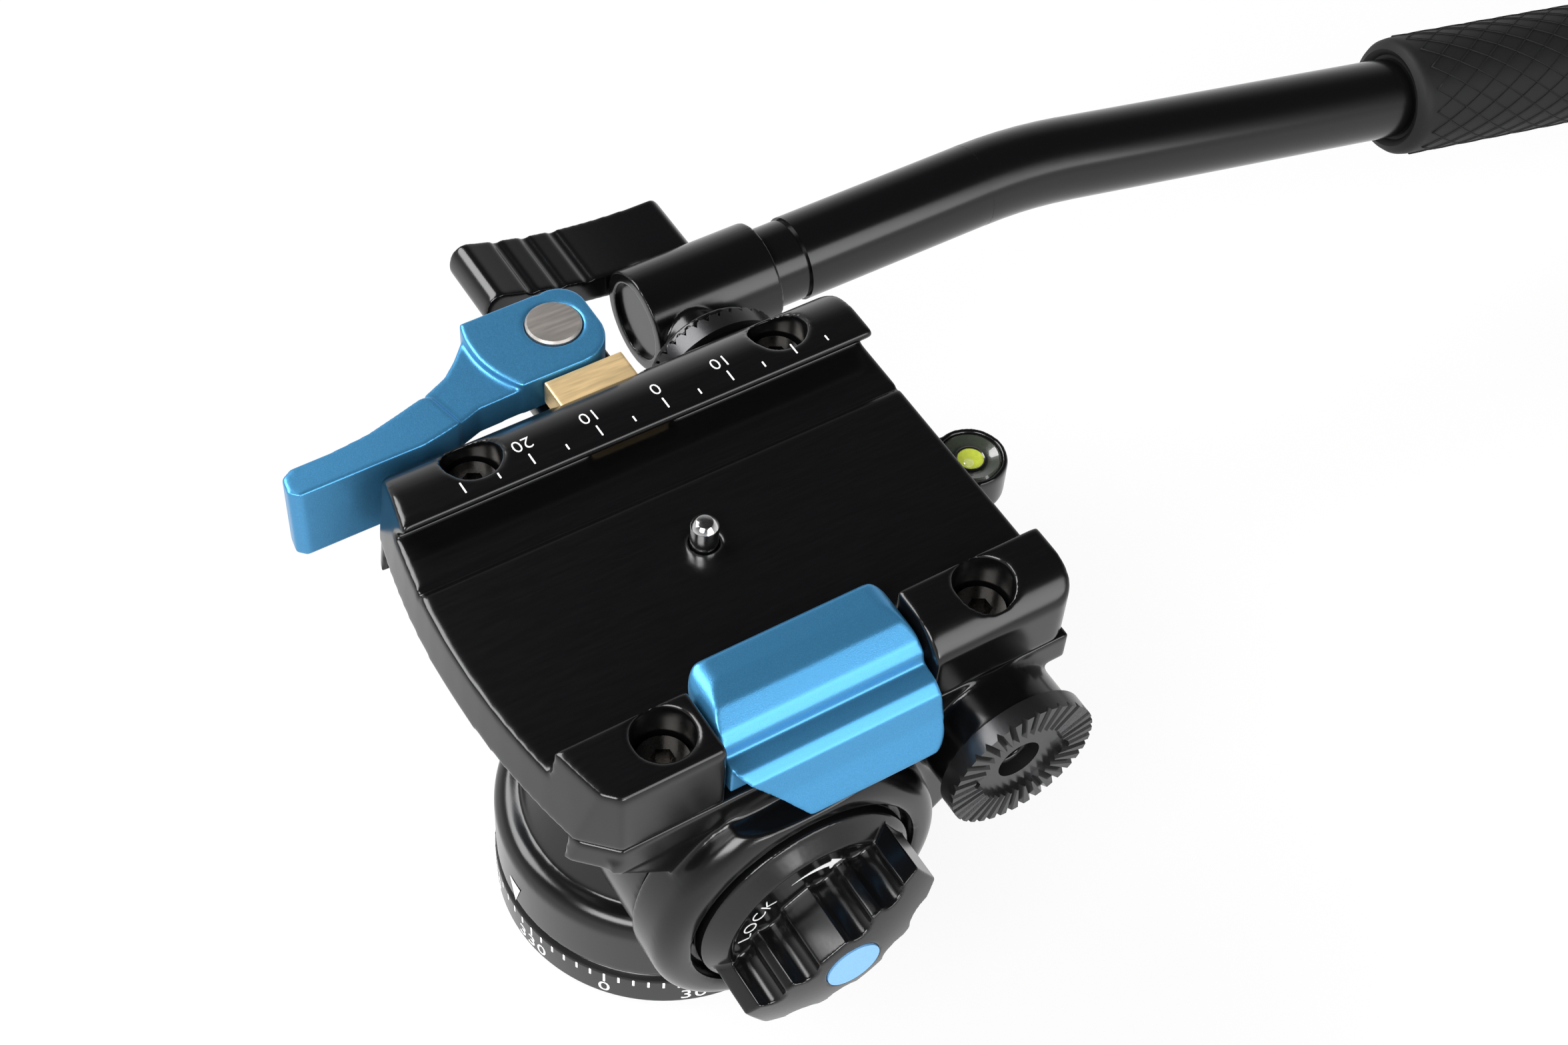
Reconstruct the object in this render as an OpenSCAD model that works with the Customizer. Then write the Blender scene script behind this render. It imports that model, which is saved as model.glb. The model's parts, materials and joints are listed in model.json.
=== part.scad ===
// Fluid video head for a tripod: pan base, tilt barrel, quick-release platform and bent handle.
// Frame: origin at the centre of the base's underside, +Z up, +Y towards the lens, +X to the right.

/* [Pan base] */
// Diameter of the graduated base
base_d = 50; // [48:0.5:54]
// Height of the graduated base
base_h = 7; // [6:0.25:9]
// Radius of the wall of the 3/8-16 mounting thread
mount_thread_r = 4; // [3.9:0.05:4.2]
// Depth of the mounting thread
mount_thread_l = 12; // [9:0.5:13]
// Diameter of the pan spindle
spindle_d = 16; // [15:0.25:18]
// Height of the rotor's wall above the base
rotor_h = 12.6; // [12:0.2:14]

/* [Tilt barrel] */
// Height of the tilt axis above the base's underside
tilt_h = 41.3; // [40.5:0.1:43]
// Radius of the tilt barrel
barrel_r = 20.6; // [19.5:0.1:21.2]
// Distance of the barrel's ends inside the platform's sides
barrel_in = 4; // [3.5:0.1:5]
// Radius of the barrel's bore
barrel_bore_r = 15; // [14:0.25:16]
// Diameter of the tilt shaft
shaft_d = 12; // [10:0.25:13]

/* [Cheeks] */
// Height of the platform's underside above the tilt axis
saddle_h = 23.9; // [23.4:0.1:26]
// Height of a cheek's flange under the platform
flange_h = 4.9; // [4.6:0.1:5.2]
// Thickness of a cheek's web
web_t = 3.3; // [3:0.1:3.4]
// Radius of a cheek's round boss
boss_r = 21.5; // [20.5:0.1:22]
// Width of a cheek's boss along the tilt axis
boss_w = 8.3; // [7.6:0.1:9.5]
// Distance of the handle's axis behind the tilt axis
rosette_back = 30; // [29:0.25:32]
// Height of the handle's axis above the tilt axis
rosette_up = 13.7; // [12.5:0.1:13.8]
// Radius of a rosette
rosette_r = 11; // [10:0.25:12]
// Distance of a rosette's face outside the platform's side
rosette_out = 8; // [7:0.25:10]
// Number of teeth on a rosette
rosette_teeth = 36; // [24:4:48]
// Radius of the wall of the M6 accessory thread
rosette_thread_r = 2.5; // [2.4:0.05:2.6]

/* [Platform] */
// Width of the platform
plat_w = 62; // [61:0.5:64]
// Distance of the platform's front apex from the tilt axis
plat_front = 30.4; // [29:0.2:34]
// Distance of the platform's back edge from the tilt axis
plat_back = 42; // [41:0.25:44]
// Thickness of the platform under the channel's floor
plat_t = 7.3; // [7:0.1:8.5]
// Height of the rails above the channel's floor
rail_h = 4.5; // [4.3:0.1:5]
// Radius of the front edge in plan
front_r = 110; // [90:2:140]
// Width of a rail from its lip to the platform's side
rail_w = 13.1; // [12.5:0.1:13.5]
// Depth of the undercut below a lip
undercut = 3.1; // [2.8:0.1:3.4]
// Distance of the rail screws from the platform's sides
screw_in = 6; // [5.4:0.1:6.5]
// Distance between the front and rear rail screws
screw_pitch = 46.8; // [45:0.2:48]
// Diameter of the screws' counterbores
counterbore_d = 8; // [7.4:0.1:8.4]
// Diameter of the stop pin
stop_d = 3.8; // [3.2:0.1:4]

/* [Catch, lever and jaw] */
// Length of the safety catch along the rail
catch_l = 29.4; // [27:0.2:30]
// Distance of the clamp lever's pivot outside the platform's side
lever_out = 11.1; // [10.8:0.1:13]
// Diameter of the lever's pivot pin
lever_pin_d = 7.9; // [7:0.1:8.2]
// Length of the lever from its pivot to its tip
lever_l = 44; // [40:0.5:50]
// Width of the brass clamp jaw
jaw_w = 12; // [10:0.25:12.5]

/* [Lock knobs] */
// Radius of the tilt knob's flange
knob_r = 15.9; // [14.5:0.1:16.2]
// Length of the tilt knob's grip bar
bar_l = 29.4; // [26:0.2:31]
// Width of the grip bar at its middle
bar_w = 12; // [11:0.2:13.5]
// Distance of the tilt knob's face from the cheek's boss
bar_h = 12; // [10:0.25:14]
// Diameter of the pan knob
pan_knob_d = 11; // [9:0.25:11.5]

/* [Handle] */
// Distance of the handle's socket outside the platform's side
socket_out = 21.8; // [21:0.1:23]
// Radius of the handle's socket
socket_r = 7.9; // [7.6:0.1:8.4]
// Diameter of the handle's tube
tube_d = 13.2; // [11:0.2:13.6]
// Length of the tube between the socket and the bend
tube_straight_l = 33; // [25:1:60]
// Angle of the tube's bend
tube_bend = 10; // [4:1:20]
// Radius of the tube's bend
tube_bend_r = 100; // [60:5:140]
// Length of the tube between the bend and the grip
tube_free_l = 64; // [40:1:90]
// Diameter of the grip
grip_d = 20; // [18:0.5:24]
// Length of the grip
grip_l = 105; // [80:1:130]
// Length of the wing knob's blade ahead of its axis
wing_l = 26; // [20:0.5:27]

/* [Hidden] */
$fn = 72;

// Clearances: a running fit, a loose gap between moving pieces and a cut's overrun
run_fit = 0.05;
gap = 0.3;
over = 1;

// Places across the head, from the platform's sides
plat_half = plat_w / 2;
barrel_half = plat_half - barrel_in;
lip_x = plat_half - rail_w;
screw_x = plat_half - screw_in;
rosette_x = plat_half + rosette_out;
lever_x = plat_half + lever_out;
socket_x = plat_half + socket_out;

// Base and pan
base_r = base_d / 2;
spindle_r = spindle_d / 2;
edge = 0.6;
dial_chamfer = 0.9;
flange_t = 3;
flange_r = spindle_r + 3;
washer_t = 0.4;
rotor_z = base_h + washer_t + 0.1;
rotor_r = base_r - 0.2;
rotor_top = rotor_z + rotor_h;
shoulder_r = 3;
bushing_t = 2.5;
friction_t = 0.6;
nut_t = 4;
nut_r = spindle_r + 3;
nut_z = rotor_top + friction_t;
spindle_top = nut_z + nut_t;

// Pan lock on the right of the rotor
pan_lock_z = rotor_z + 5;
pan_stud_r = 2.5;
pan_pad_t = 2.6;
pan_knob_l = 11;
pan_knob_x = rotor_r + 1.2;

// Tilt barrel and its fluid drag
shaft_r = shaft_d / 2;
tilt_bushing_l = 6;
drag_x0 = -10;
drag_x1 = barrel_half - tilt_bushing_l;
drag_wall = 2.5;
drag_gap = 0.3;
neck_r = rotor_r - shoulder_r - 0.3;
neck_top_r = 15;
neck_h = 12;

// Cheeks
cheek_x = barrel_half + 0.5;
web_x = cheek_x + web_t;
boss_x = cheek_x + boss_w;
boss_round = 3.3;
shaft_cover = 2;
web_step = 0.6;
boss_recess = 2.9;
recess_r = knob_r + 1.1;
saddle_z = tilt_h + saddle_h;
flange_x = plat_half - 6;
pad_x = screw_x - 4.5;
pad_y0 = 11;
pad_y1 = 20.5;
handle_y = -rosette_back;
handle_z = tilt_h + rosette_up;
rosette_boss_r = rosette_r - 1;
rosette_t = 2;
tooth_h = 0.8;
tooth_r = 6.2;
tooth_flat = 0.8;
hub_d = 0.15;
tooth_phase = 0.3;
rosette_thread_l = 14;
small_screw_turn = 6;
small_screw_r = 6.4;
small_screw_d = 2.5;
small_screw_l = 6;

// Bubble level behind the platform
vial_r = 4.3;
vial_l = 5;
ear_r = vial_r + 0.9;
ear_y = -plat_back - ear_r - 0.2;
ear_h = 6.5;
ear_top = saddle_z + 0.8;
ear_root = 5;
flare_x = 10;

// Platform
floor_z = saddle_z + plat_t;
rail_z = floor_z + rail_h;
front_draft = 1.8;
corner_r = 3;
front_chamfer = 1.2;
front_drop = front_r - sqrt(front_r * front_r - plat_half * plat_half);
floor_x = lip_x + undercut;
lip_edge = 0.8;
nose_r = 9.8;
nose_in = 9;
nose_x = plat_half - nose_in;
rear_nose_r = 7.5;
rear_nose_x = plat_half - 6.5;
inner_x = floor_x - 0.2;
catch_y0 = -19.8;
catch_y1 = catch_y0 + catch_l;
block_gap = 0.6;
screw_y = -7.6;
head_r = counterbore_d / 2 - 0.5;
head_h = 3.4;
head_seat = 9.2;
screw_r = 2;
screw_hole_r = 2.2;
screw_depth = 4.5;
hex_r = 1.73;
hex_depth = 2;
groove_x = 10.6;
groove_w = 0.8;
groove_d = 0.6;
line_w = 0.35;
line_d = 0.2;

// Stop pin in the middle of the channel
stop_x = 0.8;
stop_y = -5.2;
stop_r = stop_d / 2;
stop_rise = 4;
stop_collar = 0.9;
stop_collar_t = 0.7;
stop_wall = 1.2;
stop_cover_t = 0.8;
stop_chamfer = 0.8;
stop_collar_z = floor_z - stop_wall - gap;
stop_spring_wire = 0.35;
stop_spring_z = saddle_z + stop_cover_t;
stop_pocket_r = stop_r + stop_collar + gap;

// Safety catch on the left rail
catch_pin_x = -(plat_half - 5.5);
catch_pin_z = saddle_z + 3.6;
catch_pin_r = 1.5;
catch_pin_seat = 3;
catch_pin_y0 = catch_y0 - block_gap - catch_pin_seat;
catch_pin_y1 = screw_y + screw_pitch / 2 - head_r - 2 * run_fit;
slot_x = -(floor_x + 0.3);
catch_top = rail_z + 0.6;
tab_x = plat_half + 6;
tab_z = saddle_z - 2.5;
tab_travel = 2.2;
catch_pocket_r = 2.9;
catch_pocket_l = 9;
catch_spring_wire = 0.7;

// Clamp lever and jaw on the right rail
lever_y = -5.5;
lever_pin_r = lever_pin_d / 2;
lug_t = 3;
lug_r = lever_pin_r + 3;
lever_z = saddle_z + lug_t + gap;
lever_t = 6;
neck_drop = 1;
cam_x = 7.9;
cam_r = 5.5;
eye_x = 6.2;
eye_y = 6;
eye_r = 4;
eye_front_r = 15;
paddle_x = plat_half + 0.5;
paddle_drop = 7;
lever_pin_rise = 0.4;
jaw_z0 = floor_z - 2.7;
jaw_z1 = floor_z + 1.3;
jaw_end = lever_x - cam_x - gap;
jaw_gap = 0.25;
jaw_sill = 0.1;
jaw_step = 3;

// Tilt knob in the left cheek
knob_back = boss_x - boss_recess + gap;
rim_x = boss_x + 0.6;
ring_r = knob_r - 3.4;
ring_x = rim_x + 1.8;
dish_d = 0.5;
face_x = boss_x + bar_h;
dome_r = 36;
bar_side_r = 40;
bar_turn = 148;
scallop_r = 2.4;
scallop_d = 1.3;
cap_r = 3.9;
cap_t = 0.8;
knob_stud_r = 3;
knob_stud_l = 5.4;

// Handle
arm_x = rosette_x + 2 * tooth_h + gap;
arm_r = rosette_r - 1;
arm_rim_t = 0.5;
arm_cone_t = 1.6;
arm_neck_r = 5.2;
socket_front = 5.6;
socket_back = 15.6;
socket_bore_r = tube_d / 2 - 0.6;
plug_r = socket_r - 1.9;
plug_recess = 0.8;
plug_t = 1.6;
stud_hole_r = 3.1;
neck_l = 6;
ring_gap = 0.6;
spigot_l = 8;
bend_roll = 225;
bend_step = 0.02;
grip_lip = 3;
grip_cap_t = 6;
cap_plug = 4;
wing_x = socket_x + socket_r + gap;
wing_w = 12;
wing_hub_r = 5;
wing_top = 2.9;
wing_low = -3.2;
wing_tip_r = 2.6;
wing_back = 10;
wing_dish_r = 85;
wing_dish_at = [7.5, 1.3];
wing_groove_r = 1.2;
wing_groove_d = 0.4;
groove_at = [9, 13.7, 18.5];
wing_turn = 10;
wing_stud_r = rosette_thread_r - run_fit;

// Profile in X and Z, drawn along Y
module along_y(y0, y1) {
    translate([0, y1, 0]) rotate([90, 0, 0]) linear_extrude(y1 - y0) children();
}

// Profile in Y and Z, drawn along X
module along_x(x0, x1) {
    translate([x0, 0, 0]) rotate([90, 0, 90]) linear_extrude(x1 - x0) children();
}

// Round bar along X
module rod_x(r, x0, x1, y, z) {
    translate([x0, y, z]) rotate([0, 90, 0]) cylinder(r = r, h = x1 - x0);
}

// Round bar along Y
module rod_y(r, y0, y1, x, z) {
    translate([x, y1, z]) rotate([90, 0, 0]) cylinder(r = r, h = y1 - y0);
}

// Ring about Z
module ring_z(r_in, r_out, z0, z1) {
    difference() {
        translate([0, 0, z0]) cylinder(r = r_out, h = z1 - z0);
        translate([0, 0, z0 - over]) cylinder(r = r_in, h = z1 - z0 + 2 * over);
    }
}

// Ring about the tilt axis
module ring_tilt(r_in, r_out, x0, x1) {
    difference() {
        rod_x(r_out, x0, x1, 0, tilt_h);
        rod_x(r_in, x0 - over, x1 + over, 0, tilt_h);
    }
}

// Coil spring along Z as one swept tube
module coil(r, wire, length, turns) {
    sides = 6;
    steps = 8 * turns;
    rings = [for (i = [0:steps]) let (t = i / steps, a = 360 * turns * t) [
        for (k = [0:sides - 1]) let (b = 360 * k / sides, rr = r + wire / 2 * cos(b)) [
            rr * cos(a), rr * sin(a), wire / 2 * (1 + sin(b)) + t * (length - wire)
        ]
    ]];
    points = [for (ring = rings) each ring];
    sides_f = [for (i = [0:steps - 1], k = [0:sides - 1], half = [0, 1]) let (
        n = (k + 1) % sides, a = i * sides, b = a + sides
    ) half == 0 ? [a + k, b + k, a + n] : [a + n, b + k, b + n]];
    first = [for (k = [1:sides - 2]) [0, k, k + 1]];
    last = [for (k = [1:sides - 2]) [steps * sides, steps * sides + k + 1, steps * sides + k]];
    polyhedron(points, concat(sides_f, first, last));
}

module pan_base() {
    color("#2a2b2d") difference() {
        rotate_extrude() polygon([
            [spindle_r, 0], [base_r - edge, 0], [base_r, edge], [base_r, base_h - dial_chamfer],
            [base_r - dial_chamfer, base_h], [spindle_r, base_h]
        ]);
        translate([0, 0, -over]) cylinder(r = flange_r, h = flange_t + over);
    }
}

module pan_spindle() {
    color("silver") difference() {
        union() {
            cylinder(r = flange_r, h = flange_t);
            cylinder(r = spindle_r, h = spindle_top);
        }
        translate([0, 0, -over]) cylinder(r = mount_thread_r, h = mount_thread_l + over);
    }
}

module pan_washer() {
    color("ivory") ring_z(spindle_r + gap, base_r - 4, base_h, base_h + washer_t);
}

module pan_friction_washer() {
    color("tan") ring_z(spindle_r, nut_r - gap, rotor_top, rotor_top + friction_t);
}

module pan_nut() {
    color("silver") ring_z(spindle_r, nut_r, nut_z, spindle_top);
}

module rotor() {
    translate([0, 0, rotor_z]) {
        cylinder(r = rotor_r, h = rotor_h - shoulder_r);
        cylinder(r = rotor_r - shoulder_r, h = rotor_h);
        translate([0, 0, rotor_h - shoulder_r]) rotate_extrude()
            translate([rotor_r - shoulder_r, 0]) circle(shoulder_r);
    }
}

module pan_housing() {
    color("#202124") difference() {
        union() {
            rotor();
            translate([0, 0, rotor_top - over]) cylinder(r1 = neck_r, r2 = neck_top_r, h = neck_h + over);
            rod_x(barrel_r, -barrel_half, barrel_half, 0, tilt_h);
        }
        translate([0, 0, rotor_z - over]) cylinder(r = spindle_r + bushing_t, h = rotor_h + over);
        translate([0, 0, rotor_top - 0.01]) cylinder(r = nut_r + 2 * gap, h = tilt_h - rotor_top);
        rod_x(barrel_bore_r, -barrel_half - over, barrel_half + over, 0, tilt_h);
        rod_x(pan_stud_r + run_fit, spindle_r, rotor_r + over, 0, pan_lock_z);
    }
}

module pan_bushing() {
    color("peru") difference() {
        ring_z(spindle_r + run_fit, spindle_r + bushing_t, rotor_z, rotor_top - gap);
        rod_x(pan_stud_r + run_fit, 0, base_d, 0, pan_lock_z);
    }
}

module pan_brake_pad() {
    color("goldenrod") rod_x(pan_stud_r, spindle_r + gap, spindle_r + gap + pan_pad_t, 0, pan_lock_z);
}

module pan_knob() {
    flutes = 10;
    stud_end = spindle_r + gap + pan_pad_t + gap;
    color("#1b1c1e") union() {
        rod_x(pan_stud_r, stud_end, pan_knob_x + over, 0, pan_lock_z);
        difference() {
            translate([pan_knob_x, 0, pan_lock_z]) rotate([0, 90, 0]) rotate_extrude() polygon([
                [0, 0], [pan_knob_d / 2 - 1, 0], [pan_knob_d / 2, 1], [pan_knob_d / 2, pan_knob_l - 1],
                [pan_knob_d / 2 - 1, pan_knob_l], [0, pan_knob_l]
            ]);
            for (i = [0:flutes - 1]) translate([0, 0, pan_lock_z]) rotate([360 * i / flutes, 0, 0])
                rod_x(1.3, pan_knob_x + 2, pan_knob_x + pan_knob_l + over, 0, pan_knob_d / 2 + 0.5);
        }
    }
}

module tilt_bushings() {
    color("peru") for (s = [-1, 1]) {
        x0 = s > 0 ? barrel_half - tilt_bushing_l : -barrel_half;
        ring_tilt(shaft_r + run_fit, barrel_bore_r, x0, x0 + tilt_bushing_l);
    }
}

module drag_cup() {
    color("dimgray") ring_tilt(barrel_bore_r - drag_wall, barrel_bore_r, drag_x0, drag_x1);
}

module drag_drum() {
    color("gainsboro") ring_tilt(shaft_r, barrel_bore_r - drag_wall - drag_gap, drag_x0, drag_x1 - gap);
}

module counterbalance_spring() {
    wire = 1.8;
    room = drag_x0 - gap - (-barrel_half + tilt_bushing_l + gap);
    color("silver") translate([-barrel_half + tilt_bushing_l + gap, 0, tilt_h]) rotate([0, 90, 0])
        coil(shaft_r + gap + wire / 2 + 0.4, wire, room, 5);
}

module tilt_shaft() {
    color("silver") difference() {
        rod_x(shaft_r, -knob_back + gap, boss_x - shaft_cover, 0, tilt_h);
        rod_x(knob_stud_r + run_fit, -knob_back, -knob_back + knob_stud_l + over, 0, tilt_h);
    }
}

// Round boss of one cheek, with its outer edge rounded and its face hollowed to the given depth
module cheek_boss(hollow) {
    translate([0, 0, tilt_h]) rotate([0, 90, 0]) rotate_extrude() difference() {
        union() {
            translate([0, cheek_x]) square([boss_r, boss_w - boss_round]);
            translate([0, cheek_x]) square([boss_r - boss_round, boss_w]);
            translate([boss_r - boss_round, boss_x - boss_round]) circle(boss_round);
        }
        translate([-over, boss_x - hollow]) square([recess_r + over, hollow + over]);
    }
}

// Solid that trims anything to the platform's curved and drafted front with its slanting corners
module front_trim(inset) {
    centre_y = plat_front - front_r;
    difference() {
        translate([0, centre_y, 0]) cylinder(
            r1 = front_r + front_draft * (1 + saddle_z / (plat_t + rail_h)) - inset,
            r2 = front_r - inset,
            h = rail_z + over, $fn = 360
        );
        for (a = [45, 135])
            translate([sign(90 - a) * (plat_half - front_chamfer), plat_front - front_drop, -over])
                rotate([0, 0, a]) translate([0, -front_r / 4, 0])
                    cube([front_r / 4, front_r / 2, rail_z + 3 * over]);
    }
}

// Web of one cheek between its flange, the round boss and the rosette's boss
module cheek_outline() {
    front_y = plat_front - 4.4;
    top = saddle_z - flange_h / 2;
    apart = norm([rosette_back, rosette_up]);
    low = atan2(rosette_up, -rosette_back) + acos((boss_r - rosette_boss_r) / apart);
    side = [cos(low), sin(low)];
    polygon([
        [0, tilt_h] + (boss_r - web_step) * side, [handle_y, handle_z] + (rosette_boss_r - web_step) * side,
        [handle_y, handle_z], [handle_y - 2, top], [front_y, top], [front_y, saddle_z - flange_h + 0.2],
        [boss_r * 0.5, tilt_h + boss_r * 0.36]
    ]);
}

// Flange under the platform, widened to a pad at each screw and kept clear of the barrel
module flange() {
    intersection() {
        front_trim(0.4);
        translate([0, 0, saddle_z - flange_h]) linear_extrude(flange_h) polygon([
            [plat_half, -plat_back], [plat_half, plat_front + over], [flange_x, plat_front + over],
            [flange_x, pad_y1], [pad_x, pad_y1], [pad_x, pad_y0], [cheek_x + 0.2, pad_y0],
            [cheek_x + 0.2, -pad_y0], [pad_x, -pad_y0], [pad_x, -plat_back]
        ]);
    }
}

// Right cheek: boss on the tilt axis, web, flange and the rosette's boss, with their holes
module cheek(bore_end, hollow) {
    difference() {
        union() {
            cheek_boss(hollow);
            along_x(cheek_x + 0.1, web_x) cheek_outline();
            rod_x(rosette_boss_r, flange_x, rosette_x - rosette_t, handle_y, handle_z);
            flange();
        }
        rod_x(shaft_r, cheek_x - over, bore_end, 0, tilt_h);
        rod_x(rosette_thread_r, rosette_x - rosette_t - rosette_thread_l, rosette_x, handle_y, handle_z);
        for (t = [0, 180]) translate([0, handle_y, handle_z]) rotate([small_screw_turn + t, 0, 0])
            rod_x(small_screw_d / 2, rosette_x - small_screw_l, rosette_x, small_screw_r, 0);
        for (y = [-1, 1]) translate([screw_x, screw_y + y * screw_pitch / 2, saddle_z - screw_depth])
            cylinder(r = screw_r, h = screw_depth + over);
    }
}

module cheek_right() {
    color("#202124") cheek(boss_x - shaft_cover, 0);
}

module cheek_left() {
    color("#202124") difference() {
        mirror([1, 0, 0]) cheek(boss_x + over, boss_recess);
        translate([-boss_x - over, catch_y0 - over, tab_z - tab_travel])
            cube([boss_x + over - web_x - 0.5, catch_l + 2 * over, boss_r]);
    }
}

// Ear under the platform's back edge that carries the bubble level, with its flares
module ear() {
    z0 = ear_top - ear_h;
    translate([0, ear_y, z0]) cylinder(r = ear_r, h = ear_h);
    difference() {
        translate([-flare_x, ear_y, z0]) cube([2 * flare_x, -plat_back - ear_y + ear_root, ear_h]);
        for (s = [-1, 1]) translate([s * flare_x, ear_y, z0 - over])
            cylinder(r = flare_x - ear_r + 0.5, h = ear_h + 2 * over);
    }
}

module bubble_vial() {
    color("yellowgreen") translate([0, ear_y, ear_top - vial_l]) cylinder(r = vial_r, h = vial_l - 0.2);
}

// Far rail and floor: slab, undercut lip and rounded outer top
module right_section() {
    difference() {
        polygon([
            [-floor_x, saddle_z], [plat_half, saddle_z], [plat_half, rail_z], [lip_x + lip_edge / 2, rail_z],
            [lip_x, rail_z - lip_edge / 2], [lip_x, rail_z - lip_edge - 0.3], [floor_x, floor_z],
            [-floor_x, floor_z]
        ]);
        difference() {
            translate([nose_x, rail_z - nose_r]) square(nose_r + over);
            translate([nose_x, rail_z - nose_r]) circle(nose_r);
        }
    }
}

// Left rail's block, with a rounded outer top of the given radius
module left_section(round_r, round_x) {
    difference() {
        translate([-plat_half, saddle_z]) square([plat_half - inner_x, rail_z - saddle_z]);
        difference() {
            translate([-round_x - round_r - over, rail_z - round_r]) square(round_r + over);
            translate([-round_x, rail_z - round_r]) circle(round_r);
        }
    }
}

// Platform's outline in plan, drafted at the front
module plan_trim() {
    intersection() {
        front_trim(0);
        union() {
            translate([-plat_half, -plat_back + corner_r, 0])
                cube([plat_w, plat_back + plat_front * 2, rail_z]);
            translate([-plat_half + corner_r, -plat_back, 0])
                cube([plat_w - 2 * corner_r, plat_back, rail_z]);
            for (s = [-1, 1]) translate([s * (plat_half - corner_r), -plat_back + corner_r, 0])
                cylinder(r = corner_r, h = rail_z);
        }
    }
}

module lug() {
    translate([lever_x, lever_y, saddle_z]) cylinder(r = lug_r, h = lug_t);
    translate([plat_half - over, lever_y - lug_r, saddle_z])
        cube([lever_x - plat_half + over, 2 * lug_r, lug_t]);
}

module platform() {
    color("#161719") difference() {
        union() {
            intersection() {
                plan_trim();
                union() {
                    along_y(-plat_back, plat_front * 2) right_section();
                    along_y(catch_y1 + block_gap, plat_front * 2) left_section(1, plat_half - 1);
                    along_y(-plat_back, catch_y0 - block_gap) left_section(rear_nose_r, rear_nose_x);
                }
            }
            lug();
            ear();
        }
        translate([0, ear_y, ear_top - vial_l]) cylinder(r = vial_r, h = vial_l + over);
        translate([-plat_half - over, catch_y0 - block_gap, saddle_z - over])
            cube([plat_half + over + slot_x, catch_l + 2 * block_gap, rail_z - saddle_z + 2 * over]);
        for (s = [-1, 1], y = [-1, 1]) translate([s * screw_x, screw_y + y * screw_pitch / 2, 0]) {
            translate([0, 0, rail_z - head_seat]) cylinder(r = counterbore_d / 2, h = head_seat + over);
            translate([0, 0, saddle_z - over]) cylinder(r = screw_hole_r, h = rail_z - saddle_z);
        }
        translate([floor_x + jaw_step - jaw_gap, lever_y - jaw_w / 2 - jaw_gap, jaw_z0 - jaw_gap])
            cube([rail_w, jaw_w + 2 * jaw_gap, jaw_z1 - jaw_z0 + 2 * jaw_gap]);
        translate([lip_x, lever_y - jaw_w / 2 - jaw_gap, floor_z + jaw_sill])
            cube([rail_w / 2, jaw_w + 2 * jaw_gap, jaw_z1 - floor_z - jaw_sill + jaw_gap]);
        translate([stop_x, stop_y, saddle_z - over]) cylinder(r = stop_r + 0.1, h = rail_z);
        translate([stop_x, stop_y, saddle_z - over])
            cylinder(r = stop_pocket_r, h = plat_t - stop_wall + over);
        translate([groove_x, -plat_back - over, floor_z - groove_d])
            cube([groove_w, plat_back + plat_front * 2, groove_d + over]);
        translate([-groove_x, -plat_back - over, floor_z - line_d])
            cube([line_w, plat_back + plat_front * 2, line_d + over]);
        rod_y(catch_pin_r, catch_y1 + block_gap - over, catch_pin_y1 + over, catch_pin_x, catch_pin_z);
        rod_y(catch_pin_r, catch_pin_y0, catch_y0 - block_gap + over, catch_pin_x, catch_pin_z);
        translate([lever_x, lever_y, saddle_z - over]) cylinder(r = lever_pin_r, h = lug_t + 2 * over);
    }
}

module platform_screws() {
    color("dimgray") for (s = [-1, 1], y = [-1, 1])
        translate([s * screw_x, screw_y + y * screw_pitch / 2, rail_z - head_seat]) difference() {
            union() {
                cylinder(r = head_r, h = head_h);
                translate([0, 0, -(rail_z - head_seat - saddle_z) - screw_depth])
                    cylinder(r = screw_r, h = rail_z - head_seat - saddle_z + screw_depth + over);
            }
            translate([0, 0, head_h - hex_depth]) cylinder(r = hex_r, h = hex_depth + over, $fn = 6);
        }
}

// Grooves between a rosette's teeth, about X with their bottoms at X = 0
module tooth_grooves(phase) {
    pitch = 360 / rosette_teeth;
    half_w = (tooth_r - tooth_flat) * sin(pitch / 2);
    for (i = [0:rosette_teeth - 1]) rotate([(i + phase) * pitch, 0, 0])
        translate([0, 0, tooth_r]) linear_extrude(rosette_r - tooth_r + over)
            polygon([[0, 0], [tooth_h + over, -half_w * (tooth_h + over) / tooth_h],
                [tooth_h + over, half_w * (tooth_h + over) / tooth_h]]);
}

// Toothed disc about X, with its teeth facing +X and holes for its two screws
module rosette() {
    difference() {
        rod_x(rosette_r, -rosette_t, tooth_h, 0, 0);
        tooth_grooves(tooth_phase);
        rod_x(tooth_r + hub_d, -hub_d, tooth_h + over, 0, 0);
        rod_x(rosette_thread_r + 0.7, -rosette_t - over, over, 0, 0);
        for (t = [0, 180]) rotate([small_screw_turn + t, 0, 0])
            rod_x(small_screw_d / 2, -rosette_t - over, over, small_screw_r, 0);
    }
}

module rosette_right() {
    color("#1d1e20") translate([rosette_x, handle_y, handle_z]) rosette();
}

module rosette_left() {
    color("#1d1e20") mirror([1, 0, 0]) translate([rosette_x, handle_y, handle_z]) rosette();
}

module rosette_screws() {
    color("dimgray") for (m = [0, 1], t = [0, 180]) mirror([m, 0, 0])
        translate([rosette_x, handle_y, handle_z]) rotate([small_screw_turn + t, 0, 0])
            rod_x(small_screw_d / 2, -small_screw_l, -hub_d, small_screw_r, 0);
}

module lever_pin() {
    color("silver") translate([lever_x, lever_y, saddle_z]) {
        cylinder(r = lever_pin_r, h = lug_t + gap + lever_t + lever_pin_rise - 0.3);
        translate([0, 0, lug_t + gap + lever_t + lever_pin_rise - 0.3])
            cylinder(r1 = lever_pin_r, r2 = lever_pin_r - 0.3, h = 0.3);
    }
}

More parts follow.
